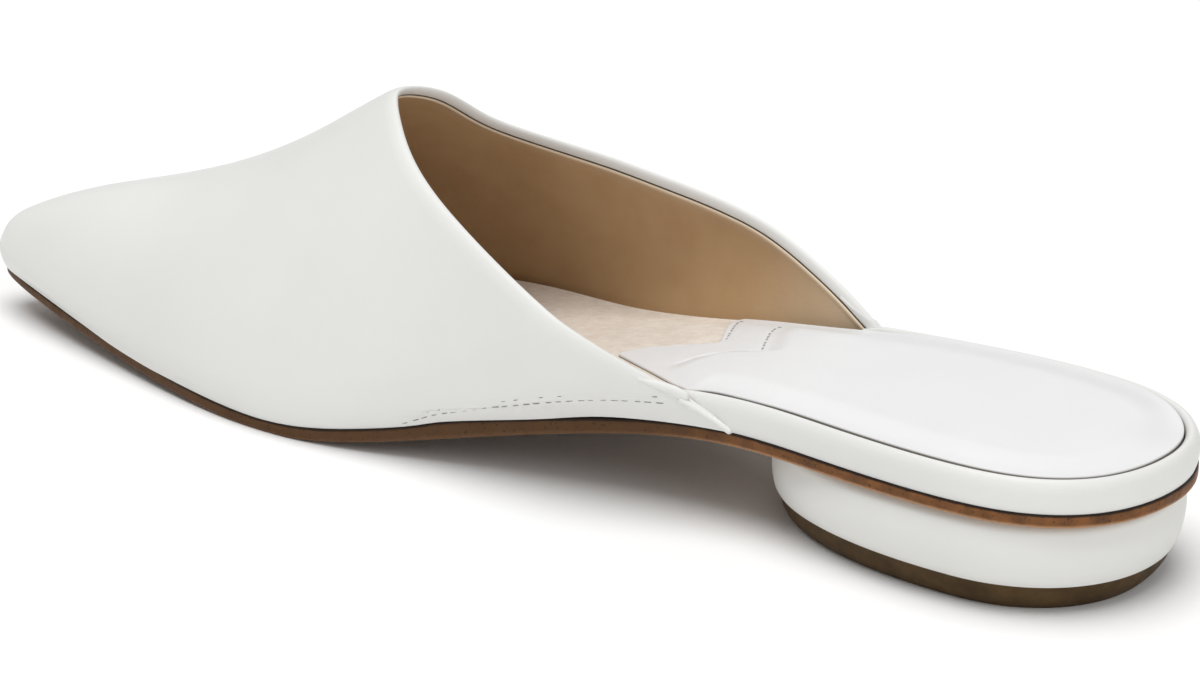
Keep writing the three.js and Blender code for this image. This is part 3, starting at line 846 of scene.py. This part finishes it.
def make_tails():
    """On each side the rolled edge ends in a rounded nose, and a folded cord goes on down to the sole."""
    for name, side in (("inner", -1), ("outer", 1)):
        around = side * np.linspace(NOSE_START, TAIL_AROUND + 0.3, 60)
        edge = OpenEdge(around)
        rise = smooth_step((np.abs(around) - NOSE_START) / NOSE_TURN)
        # The inner nose stands out past the edge, the outer one stays within it.
        out = 1.45 if side < 0 else 0.35
        centre = rows_of(edge, [(1.2 - out * rise, 1.05 - 0.25 * rise)])[0]
        make_tube("tail_nose_" + name, centre, 1.0, UPPER_LEATHER, edge, 0.55 + 0.65 * rise)
        around = side * np.linspace(TAIL_AROUND - 0.3, 90, 40)
        edge = OpenEdge(around)
        centre = rows_of(edge, [(0.35, np.full(len(around), TAIL_CORD_RADIUS * 0.1))])[0]
        make_tube("tail_cord_" + name, centre, TAIL_CORD_RADIUS, UPPER_LEATHER)


def make_tube(name, path, radius, material, edge=None, wide=None, sides=16):
    """A cord along a path with rounded ends. Where an open edge is given, the cord is as thick as the roll
    there and wide along the leather."""
    along = along_path(path)
    at = np.linspace(0, along[-1], max(8, int(along[-1] / 0.18)))
    smooth = at_distances(at, along, path)
    direction = unit(np.gradient(smooth, axis=0))
    if edge is None:
        outward = np.cross(direction, [0.0, 0.0, 1.0])
        thick = wide = np.full(len(at), radius)
    else:
        normal = upper_outward(edge.share, edge.around)
        outward = at_distances(at, along, normal)
        wide = np.interp(at, along, wide)
        thick = np.full(len(at), ROLL_RADIUS)
    outward = unit(outward - direction * np.sum(outward * direction, -1, keepdims=True))
    level = np.cross(direction, outward)
    nearest = np.minimum(at, at[-1] - at)
    close = np.sqrt(1 - (1 - np.clip(nearest / (wide * 0.95), 0.03, 1)) ** 2)
    turn = np.linspace(0, 2 * math.pi, sides, endpoint=False)
    ring = level[:, None] * (wide * close)[:, None, None] * np.cos(turn)[None, :, None]
    ring = ring + outward[:, None] * (thick * close)[:, None, None] * np.sin(turn)[None, :, None]
    rows = smooth[:, None] + ring
    faces = lattice_faces(len(at), sides, closed=True)
    faces += [list(range(sides))[::-1], [(len(at) - 1) * sides + i for i in range(sides)]]
    piece = make_mesh(name, rows.reshape(-1, 3), faces, material, 60)


def resample(path, pitch):
    """Points along a path at an even pitch."""
    along = along_path(path)
    count = max(2, int(round(along[-1] / pitch)) + 1)
    return at_distances(np.linspace(0, along[-1], count), along, path)


# ---- Stitches ------------------------------------------------------------------------
def make_stitches(name, path, outwards, pitch, length, radius, material, lift, lean=0.0, given=None):
    """A row of short threads on a path, or on given middles. Each rises out of the leather and dips back into
    it at both ends."""
    sides, rings = 8, 9
    share = np.linspace(-1, 1, rings)
    turn = np.linspace(0, 2 * math.pi, sides, endpoint=False)
    middles = given
    if given is None:
        along = along_path(path)
        count = int(along[-1] / pitch)
        middles = []
        for i in range(count):
            # Hand-guided stitches are never quite alike.
            at = (i + 0.5 + 0.08 * math.sin(i * 2.4)) * along[-1] / count
            at = at + np.linspace(-0.5, 0.5, rings) * length * (1 + 0.16 * math.sin(i * 1.7 + 1))
            middles.append([at_distances(at, along, line) for line in (path, outwards)])
    points, faces = [], []
    for centre, outward in middles:
        pick = np.linspace(0, len(centre) - 1, rings).round().astype(int)
        centre, outward = centre[pick], unit(outward[pick])
        direction = unit(np.gradient(centre, axis=0))
        aside = unit(np.cross(direction, outward))
        centre = centre + outward * (lift - 0.2 * share ** 4)[:, None] + aside * (lean * share)[:, None]
        size = radius * np.sqrt(1 - np.clip(np.abs(share) - 0.75, 0, 0.24) ** 2 / 0.25 ** 2)
        ring = aside[:, None] * np.cos(turn)[None, :, None]
        ring = ring + outward[:, None] * np.sin(turn)[None, :, None] * 0.8
        first = len(points) * rings * sides
        points.append((centre[:, None] + ring * size[:, None, None]).reshape(-1, 3))
        faces += lattice_faces(rings, sides, closed=True, first=first)
        faces.append([first + k for k in range(sides)][::-1])
        faces.append([first + (rings - 1) * sides + k for k in range(sides)])
    piece = make_mesh(name, np.concatenate(points), faces, material, 60)


def make_side_stitches():
    """The stitched seam low on each side of the upper, and the threads that show in the line above it."""
    for name, side, start in (("side_stitches_inner", -1, 95.5), ("side_stitches_outer", 1, 90.5)):
        y = np.linspace(start, 153.5, 200)
        path = on_side(y, SEAM_UP(y), side)
        outside = on_side(y, SEAM_UP(y), side, 1.0)
        make_stitches(name, path, outside - path, SIDE_SEAM_PITCH, 1.65, 0.14, THREAD, lift=-0.02)
        points = []
        for middle in FOLD_STITCHES:
            y = np.linspace(middle - 0.55, middle + 0.55, 12)
            path = on_side(y, SEAM_FOLD(y), side)
            points.append((path, on_side(y, SEAM_FOLD(y), side, 1.0) - path))
        make_stitches(name.replace("side", "fold"), None, None, 0, 1.0, 0.11, THREAD, lift=-0.02,
                      given=points)


# ---- Plan shapes on the insole -------------------------------------------------------
def rounded_path(points, radii, steps=6):
    """A polyline with each inner corner turned into a short curve."""
    out = [points[0]]
    for before, here, after, radius in zip(points[:-2], points[1:-1], points[2:], radii[1:-1]):
        reach = min(radius, 0.45 * np.linalg.norm(here - before), 0.45 * np.linalg.norm(after - here))
        start = here + (before - here) / np.linalg.norm(before - here) * reach
        end = here + (after - here) / np.linalg.norm(after - here) * reach
        for t in np.linspace(0, 1, steps + 1):
            out.append((1 - t) ** 2 * start + 2 * t * (1 - t) * here + t * t * end)
    out.append(points[-1])
    return np.array(out)


def inset_ring(outline, distance):
    """A closed outline, anticlockwise, moved inwards by a small distance."""
    return outline + left_of(unit(np.roll(outline, -1, 0) - np.roll(outline, 1, 0))) * distance


def distance_to(points, path, closed=False):
    """Distance of each point to a polyline."""
    starts = path if closed else path[:-1]
    ends = np.roll(path, -1, 0) if closed else path[1:]
    best = np.full(len(points), 1e9)
    for a, b in zip(starts, ends):
        d = b - a
        t = np.clip((points - a) @ d / max(d @ d, 1e-12), 0, 1)
        best = np.minimum(best, np.linalg.norm(points - a - t[:, None] * d, axis=-1))
    return best


def plan_line(line):
    return np.stack([line["x"], line["y"]], -1)


def inside_outline(points, outline):
    x, y = points[:, 0], points[:, 1]
    inside = np.zeros(len(points), bool)
    for a, b in zip(outline, np.roll(outline, -1, 0)):
        crosses = (a[1] > y) != (b[1] > y)
        with np.errstate(divide="ignore", invalid="ignore"):
            at = (b[0] - a[0]) * (y - a[1]) / (b[1] - a[1]) + a[0]
        inside ^= crosses & (x < at)
    return inside


def feature_points(paths, offsets, pitch):
    """Extra plan points along lines whose relief is fine."""
    out = []
    for path in paths:
        path = resample(path, pitch)
        aside = left_of(unit(np.gradient(path, axis=0)))
        for offset in offsets:
            out.append(path + aside * offset)
    return np.concatenate(out)


def make_padded_sheet(name, outline, pitch, rings, top, wall_foot, material, extra=None, raw_and_shaded=False):
    """A closed slab over a plan outline. top(points, distance) is the height of its upper face, wall_foot the
    height of its lower one. rings are the distances from the outline where the rounded edge has its own rows,
    and extra are more plan points, where the relief is fine. The last argument marks the wall and the
    underside as raw edge, which the material darkens with painted shade of the gap."""
    loops = [inset_ring(outline, d) for d in rings]
    count = len(outline)
    core = loops[-1]
    low, high = core.min(0), core.max(0)
    xs = np.arange(low[0], high[0] + pitch, pitch)
    ys = np.arange(low[1], high[1] + pitch, pitch * 0.866)
    grid = np.array([(x + (0.5 * pitch if k % 2 else 0), y) for k, y in enumerate(ys) for x in xs])
    if extra is not None:
        grid = np.concatenate([grid, extra])
    grid = grid[inside_outline(grid, core)]
    grid = grid[distance_to(grid, core, closed=True) > pitch * 0.35]
    border = [Vector(p) for p in core]
    found = delaunay_2d_cdt(border + [Vector(p) for p in grid], [], [list(range(count))], 1, 1e-5)
    plan = np.array([tuple(v) for v in found[0]])
    triangles = found[2]
    first_of = {}
    for new, olds in enumerate(found[3]):
        for old in olds:
            first_of[old] = new
    ring_points = np.concatenate(loops[:-1])
    flat = np.concatenate([ring_points, plan])
    distance = distance_to(flat, outline, closed=True)
    upper_z = top(flat, distance)
    points = [np.column_stack([flat, upper_z])]
    offset = len(ring_points)
    ring_of = [[k * count + i for i in range(count)] for k in range(len(loops) - 1)]
    ring_of.append([offset + first_of[i] for i in range(count)])
    faces = [[offset + i for i in face] for face in triangles]
    for outer_ring, inner_ring in zip(ring_of[:-1], ring_of[1:]):
        for i in range(count):
            j = (i + 1) % count
            faces.append([outer_ring[i], outer_ring[j], inner_ring[j], inner_ring[i]])
    # The wall: a first row just under the rounded edge, then down to the foot.
    shoulder_first = len(flat)
    shoulder = np.maximum(upper_z[:count] - 0.15, wall_foot(outline) + 0.02)
    points.append(np.column_stack([outline, shoulder]))
    foot_first = shoulder_first + count
    points.append(np.column_stack([outline, wall_foot(outline)]))
    for i in range(count):
        j = (i + 1) % count
        faces.append([ring_of[0][j], ring_of[0][i], shoulder_first + i, shoulder_first + j])
        faces.append([shoulder_first + j, shoulder_first + i, foot_first + i, foot_first + j])
    under_first = foot_first + count
    points.append(np.column_stack([plan, wall_foot(plan)]))
    faces += [[under_first + i for i in face][::-1] for face in triangles]
    for i in range(count):
        j = (i + 1) % count
        a, b = under_first + first_of[i], under_first + first_of[j]
        faces.append([foot_first + j, foot_first + i, a, b])
    points = np.concatenate(points)
    piece = make_mesh(name, points, faces, material, 50)
    # The wall and underside are marked raw and get painted shade of the gap at the sock's edge.
    if raw_and_shaded:
        store(piece, "raw_edge_and_gap_shade", np.arange(len(points)) >= shoulder_first)
    return piece


def sock_side_gap(angle, y):
    """The gap opens where the rim runs in behind the inner tail."""
    return SOCK_SIDE_GAP + np.where(angle < 0, SOCK_TAIL_GAP * np.exp(-((y - 91) / 6) ** 2), 0)


def insole_edge(start_y, end_y, inner_first, count, gap):
    """The insole's outline less a gap, from start_y on one side round the back to end_y on the other."""
    start, end = sole_angle(start_y), sole_angle(end_y)
    angle = np.linspace(-start, end, count) if inner_first else np.linspace(start, -end, count)
    y = sole_y(angle)
    return sole_inset(angle, SIDE["inset"](y) + gap(angle, y))


OUTER_FALL_AT = curve_through(OUTER_FALL["y"], OUTER_FALL["fall"])


def insole_face(points):
    """Height of the insole's upper face, with its fall towards the outer side."""
    y = points[:, 1]
    angle = sole_angle(y)
    edge_x = PLAN["axis"](angle) + PLAN["outer"](angle) - SIDE["inset"](y)
    fall = np.where(y < 200, OUTER_FALL_AT(np.clip(y, 40, 200)), 0)
    return insole_top(y) - fall * np.exp(-(np.maximum(edge_x - points[:, 0], 0) / 5.5) ** 2)


def sock_outline():
    """Anticlockwise: round the back from the inner side to the outer side, then back along the front edge."""
    rear = insole_edge(SOCK_INNER_Y, SOCK_OUTER_Y, True, 300, sock_side_gap)
    corners = np.concatenate([rear[-1:], plan_line(SOCK_FRONT)[::-1], rear[:1]])
    radii = np.concatenate([[0], SOCK_FRONT["round"][::-1], [0]])
    path = resample(rounded_path(corners, radii), 0.45)
    return np.concatenate([rear, path[1:-1]])


def on_sock(points, distance):
    """Height of the white sock's upper face: rounded edge, cushion, fold and stitched lines."""
    x, y = points[:, 0], points[:, 1]
    fall = SOCK_EDGE * (1 - np.sqrt(1 - (1 - np.clip(distance / SOCK_EDGE, 0, 1)) ** 2))
    rear = smooth_step((pad_front_y(x) - y) / 4.5)
    pad = PAD_HEIGHT * smooth_step((distance - 1.0) / 7.5) * rear
    heel_cup = -0.55 * np.exp(-(((y - 9.0) / 6) ** 2 + ((x - 11) / 9) ** 2))
    flat = insole_face(points) + SOCK_LIFT
    z = flat - fall + pad + heel_cup
    for line in (TAB_STITCHES, PAD_STITCHES):
        z -= 0.16 * np.exp(-(distance_to(points, plan_line(line)) / 0.3) ** 2)
    fold = plan_line(PAD_FRONT)[:7]
    z -= 0.14 * np.exp(-(distance_to(points, fold) / 0.35) ** 2) * smooth_step((x + 9) / 5)
    return z


def pad_front_y(x):
    return np.interp(x, PAD_FRONT["x"], PAD_FRONT["y"])


def make_heel_sock():
    """The white sock over the heel's cushion, with its tab in front and two stitched lines."""
    outline = sock_outline()
    lines = [plan_line(line) for line in (TAB_STITCHES, PAD_STITCHES, PAD_FRONT)]
    extra = feature_points(lines, (-0.6, -0.3, 0, 0.3, 0.6), 0.6)

    def wall_foot(plan):
        front = smooth_step((plan[:, 1] - 92) / 12)
        return (1 - front) * (sole_top(plan[:, 1]) + FIT_GAP) + front * (insole_face(plan) - 0.3)

    rings = (0.0, 0.03, 0.1, 0.2, 0.34, 0.52, 0.8)
    piece = make_padded_sheet("heel_sock", outline, 1.0, rings, on_sock, wall_foot, SOCK_LEATHER, extra, True)
    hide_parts("insole")
    for name, line in (("sock_tab_stitches", TAB_STITCHES), ("sock_pad_stitches", PAD_STITCHES)):
        plan = resample(plan_line(line), 0.3)
        distance = distance_to(plan, outline, closed=True)
        path = np.column_stack([plan, on_sock(plan, distance)])
        outwards = np.broadcast_to([0.0, 0.0, 1.0], path.shape)
        make_stitches(name, path, outwards, SOCK_SEAM_PITCH, 1.05, 0.17, SOCK_THREAD, lift=0.1,
                      lean=0.08)


def make_forefoot_suede():
    """The suede sheet from under the sock to the toe, its edge curled up a little against the lining."""
    outer = np.linspace(sole_angle(SUEDE_BACK_OUTER), 3.1, 240)
    inner = np.linspace(-3.1, -sole_angle(SUEDE_BACK_INNER), 240)
    angle = np.concatenate([outer, inner])
    side = sole_inset(angle, SIDE["inset"](sole_y(angle)))
    back = np.linspace(side[-1], side[0], 40)[1:-1]
    outline = np.concatenate([side, back])

    def top(points, distance):
        curl = 0.25 * np.exp(-(distance / 0.8) ** 2) - 0.35 * np.exp(-(distance / 0.12) ** 2)
        return insole_face(points) - 0.1 + curl

    def wall_foot(plan):
        return sole_top(plan[:, 1]) + FIT_GAP

    rings = (0.0, 0.1, 0.25, 0.5, 0.9, 1.5)
    piece = make_padded_sheet("forefoot_suede", outline, 1.5, rings, top, wall_foot, SUEDE)


# ---- Rim, sole and heel --------------------------------------------------------------
def make_heel_rim():
    """The padded wall round the heel. Its ends lean back against the upper's tails, and a narrow tongue of it
    runs on inside each tail."""
    reach = along_path(np.stack([RIM_SECTION["inset"], RIM_SECTION["up"]], -1))
    at = np.linspace(0, reach[-1], RIM_CUT_POINTS)
    inset = np.append(curve_through(reach, RIM_SECTION["inset"])(at), [2.86, 2.82, 2.3])
    up = np.append(curve_through(reach, RIM_SECTION["up"])(at), [3.0, 0.3, 0])
    inset[0], up[0] = 0.35, 0.0
    tip_inner, tip_outer = sole_angle(RIM_TONGUE_INNER), sole_angle(RIM_TONGUE_OUTER)
    middle = np.linspace(-sole_angle(60), sole_angle(60), 180)
    inner = np.linspace(-tip_inner, -sole_angle(60), 130)[:-1]
    outer = np.linspace(sole_angle(60), tip_outer, 130)[1:]
    rows = []
    for angle in np.concatenate([inner, middle, outer]):
        y = sole_y(angle)
        end, tongue = (RIM_END_INNER, RIM_TONGUE_INNER) if angle < 0 else (RIM_END_OUTER, RIM_TONGUE_OUTER)
        meet = RIM_END_MEET[0] if angle < 0 else RIM_END_MEET[1]
        beyond = smooth_step((y - end - meet - up * RIM_END_RISE) / 0.9)
        hidden = np.maximum(inset, RIM_TONGUE_INSET - RIM_TONGUE_LEAN * up)
        section_inset = inset + (hidden - inset) * beyond
        fade = smooth_step((y - tongue + 5) / 5)
        lower = 0.9 * fade + RIM_OUTER_DROP * float(smooth_step(angle / 0.35)) * smooth_step(up / 6)
        section_up = up * (1 - 0.02 * fade) - lower * smooth_step(up / 3)
        place = sole_inset(np.full(len(up), angle), section_inset)
        height = sole_top(place[:, 1]) + 0.02 + section_up + (FIT_GAP - 0.02) * up / 6.35
        rows.append(np.column_stack([place, height]))
    rows = np.array(rows)
    columns = rows.shape[1]
    faces = lattice_faces(len(rows), columns, closed=True, flip=True)
    faces += [list(range(columns)), [(len(rows) - 1) * columns + i for i in range(columns)][::-1]]
    piece = make_mesh("heel_rim", rows.reshape(-1, 3), faces, UPPER_LEATHER)
    # The rim's cut face, which runs down into the gap at the sock, is marked raw and gets painted shade of
    # that gap.
    raw_and_shaded = np.zeros(rows.shape[:2])
    raw_and_shaded[:, RIM_CUT_POINTS:] = 1
    raw_and_shaded[:, RIM_CUT_POINTS - 2:RIM_CUT_POINTS] = 0.5
    store(piece, "raw_edge_and_gap_shade", raw_and_shaded.ravel())
    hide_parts("footbed_rim")


def sole_ring(inset, height, steps=190):
    """Ring of points round the sole: back, outer side, tip, inner side."""
    angle = np.concatenate([np.linspace(0, math.pi, steps + 1), np.linspace(-math.pi, 0, steps + 1)[1:-1]])
    flat = sole_inset(np.clip(angle, -3.1411, 3.1411), np.full(len(angle), inset))
    flat[0] = (PLAN["axis"](0.0), inset)
    flat[steps] = (PLAN["axis"](math.pi), SOLE_LENGTH - inset)
    return np.column_stack([flat, height(flat[:, 1])])


def make_outsole():
    """The sole with its rounded lower corner and its painted edge."""
    def edge_top(y):
        return sole_top(y) + waist_rise(y)

    # Each row: distance inside the outline, height above the underside, share of the way up the edge.
    profile = [(1.6, 0.0, 0), (SOLE_ARRIS, 0.0, 0)]
    for turn in np.radians((22, 45, 68, 90)):
        profile.append((SOLE_ARRIS * (1 - math.sin(turn)), SOLE_ARRIS * (1 - math.cos(turn)), 0))
    profile += [(-0.03, 0.0, 0.3), (-0.05, 0.0, 0.55), (-0.03, 0.0, 0.78), (0.0, 0.0, 0.9)]
    rings = []
    for inset, rise, share in profile:
        def height(y, rise=rise, share=share):
            low = sole_under(y) + (SOLE_ARRIS if share else rise)
            return low + (edge_top(y) - 0.25 - low) * share

        rings.append(sole_ring(inset, height))
    rings.append(sole_ring(0.12, lambda y: edge_top(y) - 0.08))
    rings.append(sole_ring(0.35, edge_top))
    rings = np.array(rings)
    piece = stacked_rings("outsole_edge", rings, SOLE_EDGE)
    top, under = edge_top(rings[..., 1]), sole_under(rings[..., 1])
    store(piece, "edge_height", ((rings[..., 2] - under) / (top - under)).ravel())
    store(piece, "forefoot", smooth_step((rings[..., 1] - 64) / 46).ravel())
    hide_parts("outsole")


def heel_rings(swell, share, heights, steps=110):
    """Egg-shaped rings of the heel. heights gives each ring's z from y and its share of the height."""
    columns = {name: curve_through(swell["share"], swell[name]) for name in ("side", "back", "front")}
    angle = math.pi * np.arange(2 * steps) / steps
    across = np.abs(np.sin(angle)) ** (2 / HEEL_SQUARENESS) * np.sign(np.sin(angle))
    along = np.abs(np.cos(angle)) ** (2 / HEEL_SQUARENESS) * np.sign(np.cos(angle))
    rings = []
    for s in share:
        reach = np.where(along > 0, HEEL_BACK + columns["back"](s), HEEL_FRONT + columns["front"](s))
        x = HEEL_SIDE_SHIFT + across * (HEEL_HALF_WIDTH + columns["side"](s))
        y = HEEL_CENTRE_Y - along * reach
        rings.append(np.column_stack([x, y, heights(y, s)]))
    return np.array(rings)


def make_heel_cover():
    foot = TOP_PIECE_HEIGHT + 0.02

    def heights(y, s):
        return foot + (sole_under(y) - 0.02 - foot) * s

    share = (1 - np.cos(np.linspace(0, math.pi, 34))) / 2
    piece = stacked_rings("heel_cover", heel_rings(HEEL_SWELL, share, heights), HEEL_LEATHER, 50)
    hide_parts("heel_block")


def make_heel_rubber():
    share = np.array([0, 0.03, 0.07, 0.12, 0.25, 0.4, 0.55, 0.7, 0.82, 0.9, 0.96, 1.0])
    rings = heel_rings(TOP_PIECE_SWELL, share, lambda y, s: np.full(len(y), TOP_PIECE_HEIGHT * s))
    piece = stacked_rings("heel_rubber", rings, RUBBER, 30)
    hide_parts("top_piece")


# ---- Floor, light and camera ---------------------------------------------------------
def make_floor():
    finish = Finish("floor", (0.96, 0.96, 0.955), 0.9, Specular_IOR_Level=0.05)
    mesh = bpy.data.meshes.new("floor")
    reach = 6.0
    corners = [(-reach, -reach, 0), (reach, -reach, 0), (reach, reach, 0), (-reach, reach, 0)]
    mesh.from_pydata(corners, [], [(0, 1, 2, 3)])
    mesh.materials.append(finish.material)
    floor = add_object("floor", mesh)


def make_lights():
    """A broad key overhead, weak lights from the far side and from behind the heel, a low fill from the inner
    side and an even sky."""
    world = bpy.data.worlds.new("studio")
    world.use_nodes = True
    background = world.node_tree.nodes["Background"]
    background.inputs["Color"].default_value = (1.0, 1.0, 1.0, 1)
    background.inputs["Strength"].default_value = 0.32
    bpy.context.scene.world = world
    for name, strength, softness, place in (
        ("key", 2.0, 50, (-0.12, 0.08, 1.0)),
        ("back", 0.35, 35, (0.75, 0.55, 0.75)),
        ("rear", 0.45, 30, (-0.30, -0.80, 0.65)),
        ("fill", 0.64, 25, (-0.84, -0.50, 0.03)),
    ):
        data = bpy.data.lights.new(name, "SUN")
        data.energy = strength
        data.angle = math.radians(softness)
        light = add_object(name, data)
        light.location = place
        light.rotation_euler = (-light.location).to_track_quat("-Z", "Y").to_euler()


def make_camera():
    """A long lens from the inner side and a little above, turned by a small roll."""
    azimuth, elevation, roll = (math.radians(a) for a in (CAMERA_AZIMUTH, CAMERA_ELEVATION, CAMERA_ROLL))
    back = Vector((math.sin(azimuth) * math.cos(elevation), -math.cos(azimuth) * math.cos(elevation),
                   math.sin(elevation)))
    right = (-back).cross(Vector((0, 0, 1))).normalized()
    up = right.cross(-back)
    turned_right = right * math.cos(roll) + up * math.sin(roll)
    turned_up = up * math.cos(roll) - right * math.sin(roll)
    place = Vector(to_frame(CAMERA_TARGET)) + back * CAMERA_DISTANCE * MM
    data = bpy.data.cameras.new("camera")
    data.lens = CAMERA_LENS
    data.sensor_width = 36.0
    camera = add_object("camera", data)
    rotation = Matrix((turned_right, turned_up, back)).transposed()
    camera.matrix_world = Matrix.Translation(place) @ rotation.to_4x4()
    bpy.context.scene.camera = camera


make_upper_leather()
make_upper_lining()
make_tails()
make_side_stitches()
make_heel_sock()
make_forefoot_suede()
make_heel_rim()
make_outsole()
make_heel_cover()
make_heel_rubber()
make_floor()
make_lights()
make_camera()
bpy.context.scene.view_settings.view_transform = "Standard"
